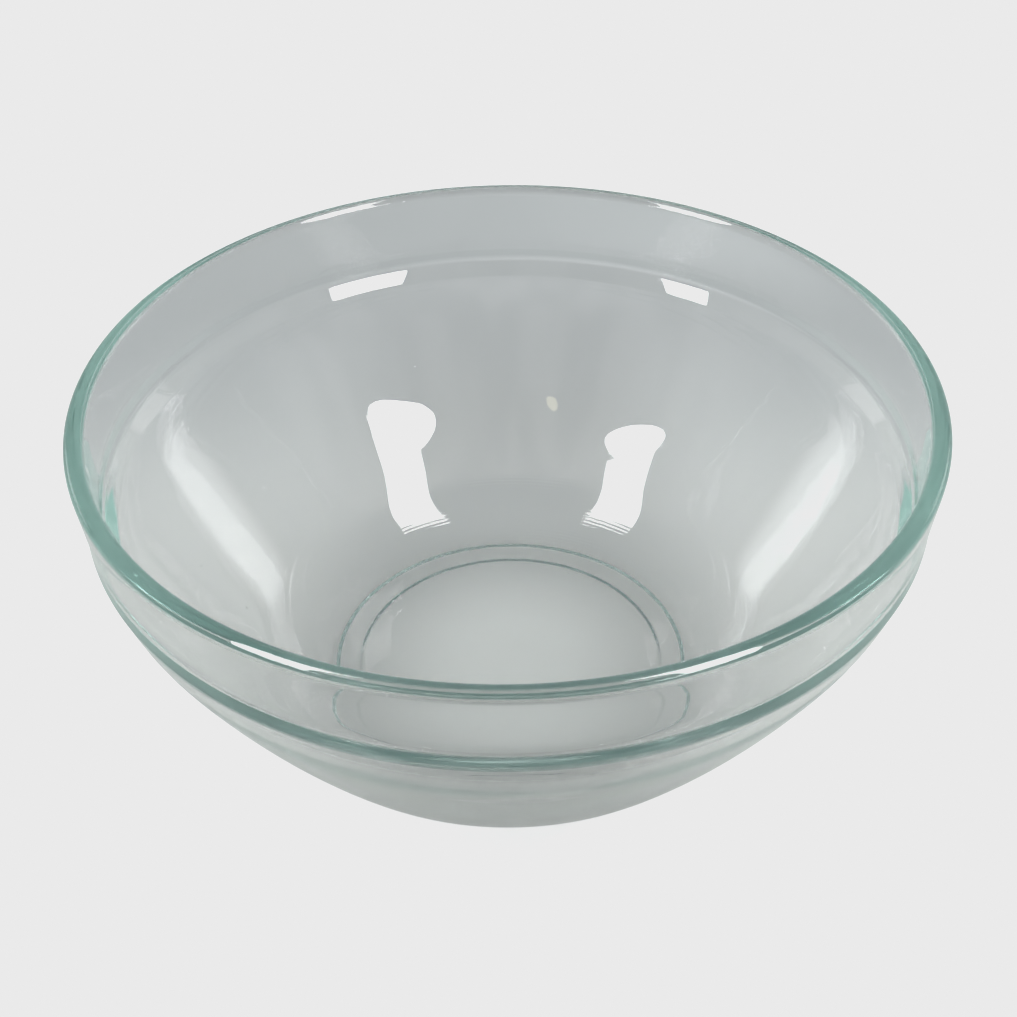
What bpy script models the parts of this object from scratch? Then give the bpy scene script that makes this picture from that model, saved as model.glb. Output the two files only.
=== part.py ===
"""A pressed glass stacking bowl: lip, upright band, bead, shoulder, curved body, base and foot ring.

Units are metres and +Z is up. The bowl stands on z = 0 with its axis on the Z axis.
It is one piece of glass, so it is one object, turned from one closed outline.
"""

import math

import bpy

# Driving dimensions. A drop is a distance below the top of the lip.
RIM_RADIUS = 0.1150
HEIGHT = 0.1000
LIP_WIDTH = 0.0053
BASE_THICKNESS = 0.0064

# The lip has rounded edges, and the wall below it leans inward as it goes down.
LIP_EDGE_ROUND = 0.0026
BAND_FOOT_RADIUS = RIM_RADIUS - 0.0022
BAND_FOOT_DROP = 0.0194

# The bead runs round the foot of the band, on the outside. It turns from one angle to another.
BEAD_RADIUS = RIM_RADIUS - 0.00225
BEAD_DROP = 0.0239
BEAD_ROUND = 0.0034
BEAD_START = 2
BEAD_END = -41

# On the inside, the wall steps in on a sloping ledge, with a hollow round along its top.
LEDGE_TOP_RADIUS = 0.1080
LEDGE_TOP_DROP = 0.0224
LEDGE_FOOT_RADIUS = 0.1048
LEDGE_FOOT_DROP = 0.0284
LEDGE_HOLLOW_ROUND = 0.0030
LEDGE_HOLLOW_SWEEP = 34

# The body's side view, outside and inside, is a chain of arcs that meet without a corner.
# Each arc has a radius and the slope, in degrees from level, that it ends on.
SHOULDER_RADIUS = RIM_RADIUS - 0.0036
SHOULDER_DROP = 0.0281
OUTSIDE_START_SLOPE = 74
OUTSIDE_ARCS = ((0.061, 61), (0.331, 52))
OUTSIDE_END_SLOPE = 4
INSIDE_START_SLOPE = 74
INSIDE_ARCS = ((0.045, 61), (0.322, 52))

# The foot ring stands on a narrow flat, round a shallow hollow under the base.
FOOT_LIFT = 0.0022
FOOT_OUTER_RADIUS = 0.0513
FOOT_INNER_RADIUS = 0.0450
HOLLOW_RADIUS = 0.0440
HOLLOW_DEPTH = 0.0006

# How finely the outline and the turn are divided.
LIP_SIDES = 4
BEAD_SIDES = 6
LEDGE_SIDES = 3
BODY_SIDES = 6
TURN_STEPS = 72
AXIS_MERGE = 0.00001


def arc(radius, height, size, start, end, sides):
    """Points (radius, height) of an arc about a centre, from one angle to another in degrees."""
    outline = []
    for index in range(sides + 1):
        angle = math.radians(start + (end - start) * index / sides)
        outline.append((radius + size * math.cos(angle), height + size * math.sin(angle)))
    return outline


def descend(outline, size, slope, end_slope):
    """Adds an arc that goes down and inward from the outline's last point, one slope to another."""
    radius, height = outline[-1]
    centre_radius = radius - size * math.sin(math.radians(slope))
    centre_height = height + size * math.cos(math.radians(slope))
    turned_in = arc(centre_radius, centre_height, size, slope - 90, end_slope - 90, BODY_SIDES)
    return outline + turned_in[1:]


def body_side(top, slope, arcs, end_slope, end_height):
    """One side of the body's wall: the arcs in turn, then a heel down to the end height."""
    outline = [top]
    for size, next_slope in arcs:
        outline = descend(outline, size, slope, next_slope)
        slope = next_slope
    fall = outline[-1][1] - end_height
    heel = fall / (math.cos(math.radians(end_slope)) - math.cos(math.radians(slope)))
    return descend(outline, heel, slope, end_slope)


def inside_outline():
    """From the middle of the floor, up the inside of the wall, to the lip."""
    ledge_foot = (LEDGE_FOOT_RADIUS, HEIGHT - LEDGE_FOOT_DROP)
    body = body_side(ledge_foot, INSIDE_START_SLOPE, INSIDE_ARCS, 0, BASE_THICKNESS)
    hollow = arc(
        LEDGE_TOP_RADIUS - LEDGE_HOLLOW_ROUND,
        HEIGHT - LEDGE_TOP_DROP,
        LEDGE_HOLLOW_ROUND,
        -LEDGE_HOLLOW_SWEEP,
        0,
        LEDGE_SIDES,
    )
    return [(0.0, BASE_THICKNESS)] + body[::-1] + hollow


def lip_outline():
    """Over the lip, from the inside of the wall to the outside."""
    centre_height = HEIGHT - LIP_EDGE_ROUND
    inner_centre = RIM_RADIUS - LIP_WIDTH + LIP_EDGE_ROUND
    outer_centre = RIM_RADIUS - LIP_EDGE_ROUND
    inner = arc(inner_centre, centre_height, LIP_EDGE_ROUND, 180, 90, LIP_SIDES)
    outer = arc(outer_centre, centre_height, LIP_EDGE_ROUND, 90, 0, LIP_SIDES)
    return inner + outer


def outside_outline():
    """Down the outside: band, bead, body and foot ring, to the middle of the hollow base."""
    band_foot = (BAND_FOOT_RADIUS, HEIGHT - BAND_FOOT_DROP)
    bead = arc(
        BEAD_RADIUS - BEAD_ROUND,
        HEIGHT - BEAD_DROP,
        BEAD_ROUND,
        BEAD_START,
        BEAD_END,
        BEAD_SIDES,
    )
    shoulder = (SHOULDER_RADIUS, HEIGHT - SHOULDER_DROP)
    body = body_side(shoulder, OUTSIDE_START_SLOPE, OUTSIDE_ARCS, OUTSIDE_END_SLOPE, FOOT_LIFT)
    foot = [(FOOT_OUTER_RADIUS, 0.0), (FOOT_INNER_RADIUS, 0.0)]
    hollow = [(HOLLOW_RADIUS, HOLLOW_DEPTH), (0.0, HOLLOW_DEPTH)]
    return [band_foot] + bead + body + foot + hollow


def turned(name, outline):
    """One closed solid of revolution about the Z axis."""
    mesh = bpy.data.meshes.new(name)
    points = [(radius, 0.0, height) for radius, height in outline]
    edges = [(index, index + 1) for index in range(len(points) - 1)]
    mesh.from_pydata(points, edges, [])
    solid = bpy.data.objects.new(name, mesh)
    turn = solid.modifiers.new("turn", "SCREW")
    turn.axis = "Z"
    turn.angle = math.tau
    turn.steps = TURN_STEPS
    turn.render_steps = TURN_STEPS
    turn.use_merge_vertices = True
    turn.merge_threshold = AXIS_MERGE
    turn.use_smooth_shade = True
    return solid


def glass():
    """Clear soda-lime glass with the slight green of its iron."""
    material = bpy.data.materials.new("glass")
    material.use_nodes = True
    shader = material.node_tree.nodes["Principled BSDF"]
    shader.inputs["Base Color"].default_value = (0.90, 0.97, 0.94, 1.0)
    shader.inputs["Roughness"].default_value = 0.02
    shader.inputs["Metallic"].default_value = 0.0
    shader.inputs["IOR"].default_value = 1.52
    shader.inputs["Transmission Weight"].default_value = 1.0
    return material


def main():
    for leftover in list(bpy.data.objects):
        bpy.data.objects.remove(leftover)
    bowl = bpy.data.collections.new("stacking_bowl")
    bpy.context.scene.collection.children.link(bowl)
    solid = turned("glass_bowl", inside_outline() + lip_outline() + outside_outline())
    solid.data.materials.append(glass())
    bowl.objects.link(solid)


main()
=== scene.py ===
"""Looks of the glass stacking bowl: a fine turned surface, clear glass, soft studio light and a camera.

Metres, +Z up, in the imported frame: the bowl stands on z = 0 with its axis on the Z axis.
"""

import math

import bpy
import numpy as np
from mathutils import Matrix, Vector


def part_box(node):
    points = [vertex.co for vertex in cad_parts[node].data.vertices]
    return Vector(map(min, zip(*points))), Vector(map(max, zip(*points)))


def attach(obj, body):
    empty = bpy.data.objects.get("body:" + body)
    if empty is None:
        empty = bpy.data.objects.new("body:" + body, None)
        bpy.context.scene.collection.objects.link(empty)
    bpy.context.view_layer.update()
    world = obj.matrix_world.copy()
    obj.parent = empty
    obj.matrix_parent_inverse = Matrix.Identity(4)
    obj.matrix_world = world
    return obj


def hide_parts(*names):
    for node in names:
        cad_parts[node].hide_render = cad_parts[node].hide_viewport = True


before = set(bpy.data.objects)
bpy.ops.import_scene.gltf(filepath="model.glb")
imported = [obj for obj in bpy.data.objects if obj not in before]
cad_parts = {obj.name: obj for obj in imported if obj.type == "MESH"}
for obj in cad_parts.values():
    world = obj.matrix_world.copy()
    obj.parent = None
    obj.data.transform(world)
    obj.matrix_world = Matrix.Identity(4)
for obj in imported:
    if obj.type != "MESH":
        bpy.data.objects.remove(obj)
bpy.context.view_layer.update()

_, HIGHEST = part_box("glass_bowl")
RIM_RADIUS = HIGHEST.x
HEIGHT = HIGHEST.z

# The bowl's side view. A drop is a distance below the top of the lip.
LIP_WIDTH = 0.0053
LIP_EDGE_ROUND = 0.0026
BASE_THICKNESS = 0.0064
BAND_FOOT_RADIUS = RIM_RADIUS - 0.0022
BAND_FOOT_DROP = 0.0194
BEAD_RADIUS = RIM_RADIUS - 0.00225
BEAD_DROP = 0.0239
BEAD_ROUND = 0.0034
BEAD_START = 2
BEAD_END = -41
LEDGE_TOP_RADIUS = 0.1080
LEDGE_TOP_DROP = 0.0224
LEDGE_FOOT_RADIUS = 0.1048
LEDGE_FOOT_DROP = 0.0284
LEDGE_HOLLOW_ROUND = 0.0030
LEDGE_HOLLOW_SWEEP = 34
SHOULDER_RADIUS = RIM_RADIUS - 0.0036
SHOULDER_DROP = 0.0281
START_SLOPE = 74
OUTSIDE_ARCS = ((0.061, 61), (0.331, 52))
OUTSIDE_END_SLOPE = 4
INSIDE_ARCS = ((0.045, 61), (0.322, 52))
FOOT_LIFT = 0.0022
FOOT_OUTER_RADIUS = 0.0513
FOOT_INNER_RADIUS = 0.0450
HOLLOW_RADIUS = 0.0440
HOLLOW_DEPTH = 0.0006

# How finely the surface is made, and how fire polishing has softened its corners: the width of
# the softening, and how many of its widths it reaches.
ARC_SIDES = 24
WALK_STEP = 0.00012
POLISH_WIDTH = 0.00035
POLISH_REACH = 3
LARGEST_TURN = 4.0
LONGEST_RUN = 0.0040
TURN_STEPS = 288
AXIS_MERGE = 0.00001

# The glass. The tint's strength per metre is its density times one less its colour.
GLASS_IOR = 1.52
GLASS_TINT = (0.70, 0.8625, 0.83)
TINT_DENSITY = 8.0

# Faults that pressing leaves: slow waves, mould ripples above the base, and pits. The ripples
# are full at one height and gone at their top, and they fade in outward from the foot.
WAVE_STRETCH = (1, 1, 2.2)
WAVES_PER_METRE = 30
WAVINESS = 0.00006
RIPPLE_PITCH = 0.0016
RIPPLE_HEIGHT = 0.000012
RIPPLES_FULL = 0.009
RIPPLES_TOP = 0.016
RIPPLES_FADE_IN = 0.006
RIPPLE_PATCHES_PER_METRE = 22
RIPPLE_PATCH_EDGE = (0.35, 0.6)
SPECK_SPACING = 0.016
SPECK_RADIUS = 0.0004
SPECK_DEPTH = 0.0002

# Wear, as roughness: faint smears, and scuffs that are full at one height and gone at a top one.
SMEAR_STRETCH = (1, 1, 0.6)
SMEARS_PER_METRE = 45
SMEAR_EDGE = (0.5, 0.75)
SMEAR_ROUGHNESS = 0.04
FOOT_WEAR = 0.15
FOOT_WEAR_FULL = 0.0001
FOOT_WEAR_TOP = 0.0004

# The floor. Tones are reflectances. Seen through the glass, the floor is painted shade: greyer
# than the paper, with painted light and painted shadow on it. A change of tone has where it starts,
# where it is full, and its amount. The places are distances along an axis, or for the middle from the
# origin.
FLOOR_SIZE = 8.0
FLOOR_GAP = 0.0002
PAPER_TONE = (0.90, 0.90, 0.90, 1)
NEAR_HUE = (0.965, 1.0, 0.975, 1)
FAR_HUE = (0.93, 0.985, 1.0, 1)
HUE_ALONG_Y = (0.0, 0.20)
SHADED_TONE = 0.41
# Painted shade along Y: darker behind the middle, lighter far back and just in front, and a painted
# shadow under the bowl's near overhang.
SHADE_ALONG_Y = (
    (0.06, 0.14, -0.045),
    (0.18, 0.27, 0.025),
    (-0.040, -0.055, 0.02),
    (-0.092, -0.112, -0.08),
)
# Painted light: lighter patches at the sides and in the middle. Across the far floor there is a painted
# lean, darker on the left and lighter on the right.
LEFT_LIGHT_PATCH = (-0.025, -0.085, 0.085)
RIGHT_LIGHT_PATCH = (0.025, 0.085, 0.12)
SIDE_LIGHTS_ALONG_Y = (0.24, 0.09)
MIDDLE_LIGHT_PATCH = (0.058, 0.012, 0.20)
FAR_LEAN = (-0.14, 0.14, 0.09)
FAR_LEAN_ALONG_Y = (0.18, 0.27)

# The lamps. A strip has the middles of its near and far ends, the way across it and its width.
# A head has its middle, the ways across and along it, and its width and length.
STRIPS = (
    ("right_strip", (0.65, -0.62, 0.63), (0.55, 0.20, 1.70), (0.97, 0.24, 0), 0.34),
    ("left_strip", (-0.73, -0.50, 0.61), (-0.57, 0.17, 1.51), (0.96, -0.28, 0), 0.35),
)
STRIP_RADIANCE = 14
HEADS = (
    ("right_head", (0.54, -0.56, 0.56), (0.78, 0.59, -0.20), (-0.13, 0.48, 0.87), 0.37, 0.050),
    ("left_head", (-0.65, -0.45, 0.54), (-0.68, 0.69, -0.26), (0.25, 0.54, 0.80), 0.34, 0.040),
)
HEAD_RADIANCE = 20
BULB = ("bulb", (-0.74, -2.26, 1.67), (0.95, -0.32, 0), (0, 0, 1), 0.20, 0.050)
BULB_RADIANCE = 4
BULB_COLOUR = (1, 0.94, 0.60)

# The room round the bowl, by direction. It is bright low down behind the camera and dim
# elsewhere, and paper light takes its place for the camera and for lit surfaces.
# A glow is a direction, a colour, and the angles between which it fades out.
ROOM_DIM = (0.22, 0.23, 0.24, 1)
ROOM_BRIGHT = (1.0, 1.0, 0.99, 1)
ROOM_FRONT = (0.25, -0.55)
ROOM_LOW = (0.90, 0.66)
ROOM_PATCH_STRETCH = (1, 1, 0.6)
ROOM_PATCH_SCALE = 5
ROOM_PATCH_EDGE = (0.38, 0.62)
ROOM_PATCH_DEPTH = 0.3
ROOM_GLOWS = (
    ((0.82, 0.50, 0.10), (1.6, 1.6, 1.6), 4, 13),
    ((-0.82, 0.53, 0.08), (1.6, 1.6, 1.6), 4, 13),
)
PAPER_LIGHT = (1.2, 1.2, 1.2, 1)

# The camera, by its place against the middle of the rim.
CAMERA_DISTANCE = 0.4485
CAMERA_ELEVATION = 34.26
CAMERA_PITCH = 38.33
CAMERA_ROLL = -0.75
CAMERA_LENS = 60.24
SENSOR_WIDTH = 36.0

# The picture's whitest tone, and how many times light may bounce.
PAPER_WHITE = 0.823
LIGHT_BOUNCES = 64


def arc(radius, height, size, start, end, sides=ARC_SIDES):
    """Points (radius, height) of an arc about a centre, from one angle to another in degrees."""
    angles = np.radians(np.linspace(start, end, sides + 1))
    return [(radius + size * math.cos(a), height + size * math.sin(a)) for a in angles]


def descend(outline, size, slope, end_slope):
    """Adds an arc that goes down and inward from the outline's last point, one slope to another."""
    radius, height = outline[-1]
    centre_radius = radius - size * math.sin(math.radians(slope))
    centre_height = height + size * math.cos(math.radians(slope))
    return outline + arc(centre_radius, centre_height, size, slope - 90, end_slope - 90)[1:]


def body_side(top, arcs, end_slope, end_height):
    """One side of the body's wall: the arcs in turn, then a heel down to the end height."""
    outline = [top]
    slope = START_SLOPE
    for size, next_slope in arcs:
        outline = descend(outline, size, slope, next_slope)
        slope = next_slope
    fall = outline[-1][1] - end_height
    heel = fall / (math.cos(math.radians(end_slope)) - math.cos(math.radians(slope)))
    return descend(outline, heel, slope, end_slope)


def inside_outline():
    """From the middle of the floor, up the inside of the wall, to the lip."""
    ledge_foot = (LEDGE_FOOT_RADIUS, HEIGHT - LEDGE_FOOT_DROP)
    body = body_side(ledge_foot, INSIDE_ARCS, 0, BASE_THICKNESS)
    hollow_centre = (LEDGE_TOP_RADIUS - LEDGE_HOLLOW_ROUND, HEIGHT - LEDGE_TOP_DROP)
    hollow = arc(*hollow_centre, LEDGE_HOLLOW_ROUND, -LEDGE_HOLLOW_SWEEP, 0)
    return [(0.0, BASE_THICKNESS)] + body[::-1] + hollow


def lip_outline():
    """Over the lip, from the inside of the wall to the outside."""
    centre_height = HEIGHT - LIP_EDGE_ROUND
    inner = arc(RIM_RADIUS - LIP_WIDTH + LIP_EDGE_ROUND, centre_height, LIP_EDGE_ROUND, 180, 90)
    outer = arc(RIM_RADIUS - LIP_EDGE_ROUND, centre_height, LIP_EDGE_ROUND, 90, 0)
    return inner + outer


def outside_outline():
    """Down the outside: band, bead, body and foot ring, to the middle of the hollow base."""
    band_foot = (BAND_FOOT_RADIUS, HEIGHT - BAND_FOOT_DROP)
    bead_centre = (BEAD_RADIUS - BEAD_ROUND, HEIGHT - BEAD_DROP)
    bead = arc(*bead_centre, BEAD_ROUND, BEAD_START, BEAD_END)
    shoulder = (SHOULDER_RADIUS, HEIGHT - SHOULDER_DROP)
    body = body_side(shoulder, OUTSIDE_ARCS, OUTSIDE_END_SLOPE, FOOT_LIFT)
    foot = [(FOOT_OUTER_RADIUS, 0.0), (FOOT_INNER_RADIUS, 0.0)]
    hollow = [(HOLLOW_RADIUS, HOLLOW_DEPTH), (0.0, HOLLOW_DEPTH)]
    return [band_foot] + bead + body + foot + hollow


def fire_polished(outline):
    """The outline walked in even short steps, with its corners softened as a flame softens glass."""
    points = np.array(outline)
    lengths = np.concatenate([[0], np.cumsum(np.hypot(*np.diff(points, axis=0).T))])
    count = int(lengths[-1] / WALK_STEP)
    walk = np.linspace(0, lengths[-1], count)
    even = np.stack([np.interp(walk, lengths, points[:, k]) for k in (0, 1)], axis=1)
    reach = int(POLISH_REACH * POLISH_WIDTH / WALK_STEP)
    offsets = np.arange(-reach, reach + 1) * WALK_STEP
    weights = np.exp(-0.5 * (offsets / POLISH_WIDTH) ** 2)
    weights /= weights.sum()
    padded = np.pad(even, ((reach, reach), (0, 0)), mode="edge")
    soft = np.stack([np.convolve(padded[:, k], weights, mode="valid") for k in (0, 1)], axis=1)
    soft[0] = even[0]
    soft[-1] = even[-1]
    return soft


def thinned(points):
    """Keeps a point wherever the outline has turned enough, or run on far enough, since the last."""
    steps = np.diff(points, axis=0)
    headings = np.degrees(np.unwrap(np.arctan2(steps[:, 1], steps[:, 0])))
    kept = [0]
    for index in range(1, len(steps)):
        turned_by = abs(headings[index] - headings[kept[-1]])
        run = (index - kept[-1]) * WALK_STEP
        if turned_by > LARGEST_TURN or run > LONGEST_RUN:
            kept.append(index)
    return points[kept + [len(points) - 1]]


def turned(name, outline):
    """One closed surface of revolution about the Z axis."""
    mesh = bpy.data.meshes.new(name)
    points = [(float(radius), 0.0, float(height)) for radius, height in outline]
    edges = [(index, index + 1) for index in range(len(points) - 1)]
    mesh.from_pydata(points, edges, [])
    bowl = bpy.data.objects.new(name, mesh)
    bpy.context.scene.collection.objects.link(bowl)
    turn = bowl.modifiers.new("turn", "SCREW")
    turn.axis = "Z"
    turn.angle = math.tau
    turn.steps = TURN_STEPS
    turn.render_steps = TURN_STEPS
    turn.use_merge_vertices = True
    turn.merge_threshold = AXIS_MERGE
    turn.use_smooth_shade = True
    evaluated = bowl.evaluated_get(bpy.context.evaluated_depsgraph_get())
    bowl.data = bpy.data.meshes.new_from_object(evaluated)
    bowl.modifiers.clear()
    bowl.data.shade_smooth()
    return bowl


def smooth_step(tree, source, start, end):
    """A smooth 0 to 1 as the source goes from start to end, which may be the lower of the two."""
    step = tree.nodes.new("ShaderNodeMapRange")
    step.interpolation_type = "SMOOTHSTEP"
    tree.links.new(source, step.inputs["Value"])
    falling = start > end
    step.inputs["From Min"].default_value = min(start, end)
    step.inputs["From Max"].default_value = max(start, end)
    step.inputs["To Min"].default_value = 1.0 if falling else 0.0
    step.inputs["To Max"].default_value = 0.0 if falling else 1.0
    return step.outputs["Result"]


def calculated(tree, operation, *values):
    """One Math node, from sockets or plain numbers."""
    node = tree.nodes.new("ShaderNodeMath")
    node.operation = operation
    for index, value in enumerate(values):
        if isinstance(value, (int, float)):
            node.inputs[index].default_value = value
        else:
            tree.links.new(value, node.inputs[index])
    return node.outputs[0]


def product(tree, first, *others):
    """Everything multiplied together."""
    for other in others:
        first = calculated(tree, "MULTIPLY", first, other)
    return first


def total(tree, first, *others):
    """Everything added together."""
    for other in others:
        first = calculated(tree, "ADD", first, other)
    return first


def change(tree, source, start, end, amount):
    """A smooth 0 to amount as the source goes from start to end."""
    return product(tree, smooth_step(tree, source, start, end), amount)


def split_axes(tree, vector):
    """The three sockets of a vector."""
    split = tree.nodes.new("ShaderNodeSeparateXYZ")
    tree.links.new(vector, split.inputs[0])
    return split.outputs["X"], split.outputs["Y"], split.outputs["Z"]


def vector_sum(tree, first, second):
    """Two vectors or colours added together."""
    added = tree.nodes.new("ShaderNodeVectorMath")
    tree.links.new(first, added.inputs[0])
    tree.links.new(second, added.inputs[1])
    return added.outputs["Vector"]


def mapped_noise(tree, coordinates, stretch, scale, detail):
    """Soft noise, 0 to 1, over coordinates or directions that are first multiplied by a stretch."""
    mapping = tree.nodes.new("ShaderNodeMapping")
    mapping.inputs["Scale"].default_value = stretch
    tree.links.new(coordinates, mapping.inputs["Vector"])
    noise = tree.nodes.new("ShaderNodeTexNoise")
    noise.inputs["Scale"].default_value = scale
    noise.inputs["Detail"].default_value = detail
    tree.links.new(mapping.outputs["Vector"], noise.inputs["Vector"])
    return noise.outputs["Fac"]


def pressing_faults(tree, place):
    """The glass's fine relief: slow waves, ripples in patches above the base, and a few pits."""
    x, y, height = split_axes(tree, place)
    radius = calculated(tree, "SQRT", total(tree, product(tree, x, x), product(tree, y, y)))
    waves = mapped_noise(tree, place, WAVE_STRETCH, WAVES_PER_METRE, detail=1)
    waves = product(tree, waves, WAVINESS)
    ripple_turn = product(tree, total(tree, height, radius), math.tau / RIPPLE_PITCH)
    low = smooth_step(tree, height, RIPPLES_TOP, RIPPLES_FULL)
    beyond_floor = smooth_step(tree, radius, FOOT_OUTER_RADIUS, FOOT_OUTER_RADIUS + RIPPLES_FADE_IN)
    patches = mapped_noise(tree, place, (1, 1, 1), RIPPLE_PATCHES_PER_METRE, detail=0)
    patchy = smooth_step(tree, patches, *RIPPLE_PATCH_EDGE)
    ripples = calculated(tree, "SINE", ripple_turn)
    ripples = product(tree, ripples, RIPPLE_HEIGHT, low, beyond_floor, patchy)
    cells = tree.nodes.new("ShaderNodeTexVoronoi")
    cells.inputs["Scale"].default_value = 1 / SPECK_SPACING
    tree.links.new(place, cells.inputs["Vector"])
    pits = change(tree, cells.outputs["Distance"], SPECK_RADIUS / SPECK_SPACING, 0.0, -SPECK_DEPTH)
    return total(tree, waves, ripples, pits)


def wear(tree, place):
    """The glass's roughness: faint smears everywhere, and scuffs under the foot ring."""
    height = split_axes(tree, place)[2]
    smears = mapped_noise(tree, place, SMEAR_STRETCH, SMEARS_PER_METRE, detail=3)
    smeared = change(tree, smears, *SMEAR_EDGE, SMEAR_ROUGHNESS)
    scuffed = change(tree, height, FOOT_WEAR_TOP, FOOT_WEAR_FULL, FOOT_WEAR)
    return calculated(tree, "MAXIMUM", smeared, scuffed)


def glass():
    """Clear pressed glass, greenish in depth, with the faint faults that pressing leaves."""
    material = bpy.data.materials.new("pressed_clear_glass")
    material.use_nodes = True
    tree = material.node_tree
    nodes = tree.nodes
    links = tree.links
    shader = nodes["Principled BSDF"]
    shader.inputs["Base Color"].default_value = (1.0, 1.0, 1.0, 1.0)
    shader.inputs["IOR"].default_value = GLASS_IOR
    shader.inputs["Transmission Weight"].default_value = 1.0
    tint = nodes.new("ShaderNodeVolumeAbsorption")
    tint.inputs["Color"].default_value = (*GLASS_TINT, 1.0)
    tint.inputs["Density"].default_value = TINT_DENSITY
    links.new(tint.outputs["Volume"], nodes["Material Output"].inputs["Volume"])
    place = nodes.new("ShaderNodeTexCoord").outputs["Object"]
    bump = nodes.new("ShaderNodeBump")
    bump.inputs["Strength"].default_value = 1.0
    bump.inputs["Distance"].default_value = 1.0
    links.new(pressing_faults(tree, place), bump.inputs["Height"])
    links.new(bump.outputs["Normal"], shader.inputs["Normal"])
    links.new(wear(tree, place), shader.inputs["Roughness"])
    return material


def floor_shade(tree, position):
    """The floor's tone where it is seen through the glass: painted shade, with painted patches of light
    and painted shadow bands.
    """
    x, y, _ = split_axes(tree, position)
    distance = tree.nodes.new("ShaderNodeVectorMath")
    distance.operation = "LENGTH"
    tree.links.new(position, distance.inputs[0])
    # Painted light at the sides and middle and painted shade along Y, added onto the shaded tone.
    patches = total(tree, change(tree, x, *LEFT_LIGHT_PATCH), change(tree, x, *RIGHT_LIGHT_PATCH))
    patches = product(tree, patches, smooth_step(tree, y, *SIDE_LIGHTS_ALONG_Y))
    far_shade_lean = product(tree, change(tree, x, *FAR_LEAN), smooth_step(tree, y, *FAR_LEAN_ALONG_Y))
    middle = change(tree, distance.outputs["Value"], *MIDDLE_LIGHT_PATCH)
    steps = [change(tree, y, *step) for step in SHADE_ALONG_Y]
    return total(tree, patches, far_shade_lean, middle, *steps, SHADED_TONE)


def studio_floor():
    """A pale floor. What shows through the glass is painted greyer as shade, with painted light and
    shadow, greenish near and bluish far away.
    """
    bpy.ops.mesh.primitive_plane_add(size=FLOOR_SIZE, location=(0, 0, -FLOOR_GAP))
    floor = bpy.context.object
    floor.name = "floor"
    material = bpy.data.materials.new("pale_floor")
    material.use_nodes = True
    tree = material.node_tree
    nodes = tree.nodes
    links = tree.links
    shader = nodes["Principled BSDF"]
    shader.inputs["Roughness"].default_value = 1.0
    shader.inputs["Specular IOR Level"].default_value = 0.0
    position = nodes.new("ShaderNodeNewGeometry").outputs["Position"]
    hue = nodes.new("ShaderNodeValToRGB")
    near_hue, far_hue = hue.color_ramp.elements
    near_hue.color = NEAR_HUE
    far_hue.color = FAR_HUE
    y = split_axes(tree, position)[1]
    links.new(smooth_step(tree, y, *HUE_ALONG_Y), hue.inputs["Fac"])
    shaded = nodes.new("ShaderNodeVectorMath")
    shaded.operation = "SCALE"
    links.new(hue.outputs["Color"], shaded.inputs[0])
    links.new(floor_shade(tree, position), shaded.inputs["Scale"])
    # The camera sees the even paper tone, and the glass's rays see the painted shade.
    path = nodes.new("ShaderNodeLightPath")
    pick = nodes.new("ShaderNodeMix")
    pick.data_type = "RGBA"
    links.new(path.outputs["Is Camera Ray"], pick.inputs["Factor"])
    links.new(shaded.outputs["Vector"], pick.inputs["A"])
    pick.inputs["B"].default_value = PAPER_TONE
    links.new(pick.outputs["Result"], shader.inputs["Base Color"])
    floor.data.materials.append(material)


def area_lamp(name, centre, across, along, width, length, shape, radiance, colour=(1, 1, 1)):
    """A lamp facing the bowl, seen only in the glass's reflections."""
    light = bpy.data.lights.new(name, "AREA")
    light.shape = shape
    light.size = width
    light.size_y = length
    area = width * length * (math.pi / 4 if shape == "ELLIPSE" else 1)
    light.energy = radiance * area * math.pi
    light.color = colour
    lamp = bpy.data.objects.new(name, light)
    x = Vector(across).normalized()
    y = Vector(along)
    y = (y - y.dot(x) * x).normalized()
    z = x.cross(y)
    if z.dot(Vector(centre)) < 0:
        z = -z
        x = -x
    lamp.matrix_world = Matrix.Translation(centre) @ Matrix((x, y, z)).transposed().to_4x4()
    lamp.visible_camera = False
    lamp.visible_diffuse = False
    lamp.visible_transmission = False
    bpy.context.scene.collection.objects.link(lamp)


def lamps():
    """Two long lamps that rise away from the camera, a wide head at each near end, and a bulb."""
    for name, near, far, across, width in STRIPS:
        along = Vector(far) - Vector(near)
        centre = (Vector(far) + Vector(near)) / 2
        area_lamp(name, centre, across, along, width, along.length, "RECTANGLE", STRIP_RADIANCE)
    for head in HEADS:
        area_lamp(*head, "ELLIPSE", HEAD_RADIANCE)
    area_lamp(*BULB, "ELLIPSE", BULB_RADIANCE, BULB_COLOUR)


def glow(tree, direction, toward, colour, from_angle, to_angle):
    """A colour where the view is within an angle of a direction, fading between two angles."""
    dot = tree.nodes.new("ShaderNodeVectorMath")
    dot.operation = "DOT_PRODUCT"
    tree.links.new(direction, dot.inputs[0])
    dot.inputs[1].default_value = Vector(toward).normalized()
    wide = math.cos(math.radians(to_angle))
    close = math.cos(math.radians(from_angle))
    spot = tree.nodes.new("ShaderNodeVectorMath")
    spot.operation = "SCALE"
    spot.inputs[0].default_value = colour
    tree.links.new(smooth_step(tree, dot.outputs["Value"], wide, close), spot.inputs["Scale"])
    return spot.outputs["Vector"]


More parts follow.
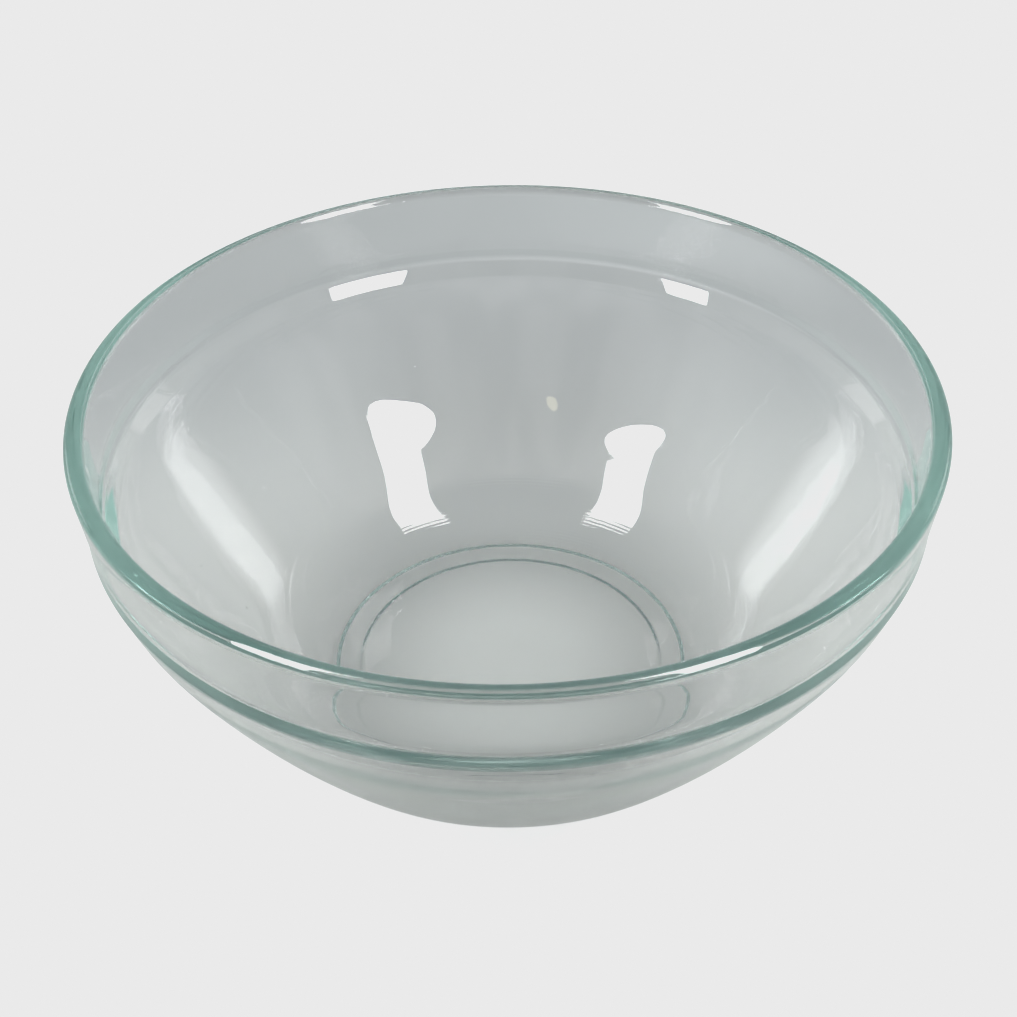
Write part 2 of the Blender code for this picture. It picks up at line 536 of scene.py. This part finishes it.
def room(tree, direction):
    """What the glass reflects and refracts, apart from the lamps and the floor."""
    _, y, z = split_axes(tree, direction)
    patches = mapped_noise(tree, direction, ROOM_PATCH_STRETCH, ROOM_PATCH_SCALE, detail=1)
    patches = change(tree, patches, *ROOM_PATCH_EDGE, ROOM_PATCH_DEPTH)
    patches = total(tree, patches, 1 - ROOM_PATCH_DEPTH)
    shade = tree.nodes.new("ShaderNodeValToRGB")
    dim, bright = shade.color_ramp.elements
    dim.color = ROOM_DIM
    bright.color = ROOM_BRIGHT
    front = smooth_step(tree, y, *ROOM_FRONT)
    low = smooth_step(tree, z, *ROOM_LOW)
    tree.links.new(product(tree, front, low, patches), shade.inputs["Fac"])
    light = shade.outputs["Color"]
    for a_glow in ROOM_GLOWS:
        light = vector_sum(tree, light, glow(tree, direction, *a_glow))
    return light


def surroundings():
    """White paper for the camera and for lit surfaces, a dimmer room for the glass's own views."""
    world = bpy.data.worlds.new("studio")
    bpy.context.scene.world = world
    world.use_nodes = True
    tree = world.node_tree
    nodes = tree.nodes
    links = tree.links
    direction = nodes.new("ShaderNodeTexCoord").outputs["Generated"]
    path = nodes.new("ShaderNodeLightPath")
    paper = calculated(tree, "MAXIMUM", path.outputs["Is Camera Ray"], path.outputs["Diffuse Depth"])
    mix = nodes.new("ShaderNodeMix")
    mix.data_type = "RGBA"
    mix.clamp_factor = True
    links.new(paper, mix.inputs["Factor"])
    links.new(room(tree, direction), mix.inputs["A"])
    mix.inputs["B"].default_value = PAPER_LIGHT
    links.new(mix.outputs["Result"], nodes["Background"].inputs["Color"])


def camera():
    """The main view, from in front and above, with the whole bowl in it."""
    data = bpy.data.cameras.new("camera")
    data.lens = CAMERA_LENS
    data.sensor_width = SENSOR_WIDTH
    eye = bpy.data.objects.new("camera", data)
    elevation = math.radians(CAMERA_ELEVATION)
    rim_centre = Vector((0, 0, HEIGHT))
    place = rim_centre + Vector((0, -math.cos(elevation), math.sin(elevation))) * CAMERA_DISTANCE
    tilt = Matrix.Rotation(math.radians(90 - CAMERA_PITCH), 4, "X")
    roll = Matrix.Rotation(math.radians(CAMERA_ROLL), 4, "Z")
    eye.matrix_world = Matrix.Translation(place) @ tilt @ roll
    bpy.context.scene.collection.objects.link(eye)
    bpy.context.scene.camera = eye


def settings():
    """A view curve that stops at the paper's tone, and enough bounces for light trapped in glass."""
    scene = bpy.context.scene
    scene.view_settings.view_transform = "Standard"
    scene.view_settings.use_curve_mapping = True
    curves = scene.view_settings.curve_mapping
    curves.extend = "HORIZONTAL"
    white = curves.curves[3]
    white.points[1].location = (1.0, PAPER_WHITE)
    white.points.new(PAPER_WHITE, PAPER_WHITE)
    for point in white.points:
        point.handle_type = "VECTOR"
    curves.update()
    scene.cycles.max_bounces = LIGHT_BOUNCES
    scene.cycles.transmission_bounces = LIGHT_BOUNCES
    scene.cycles.glossy_bounces = LIGHT_BOUNCES
    scene.cycles.use_denoising = True


outline = thinned(fire_polished(inside_outline() + lip_outline() + outside_outline()))
bowl = turned("pressed_bowl", outline)
bowl.data.materials.clear()
bowl.data.materials.append(glass())
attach(bowl, "root")
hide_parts("glass_bowl")
studio_floor()
lamps()
surroundings()
camera()
settings()
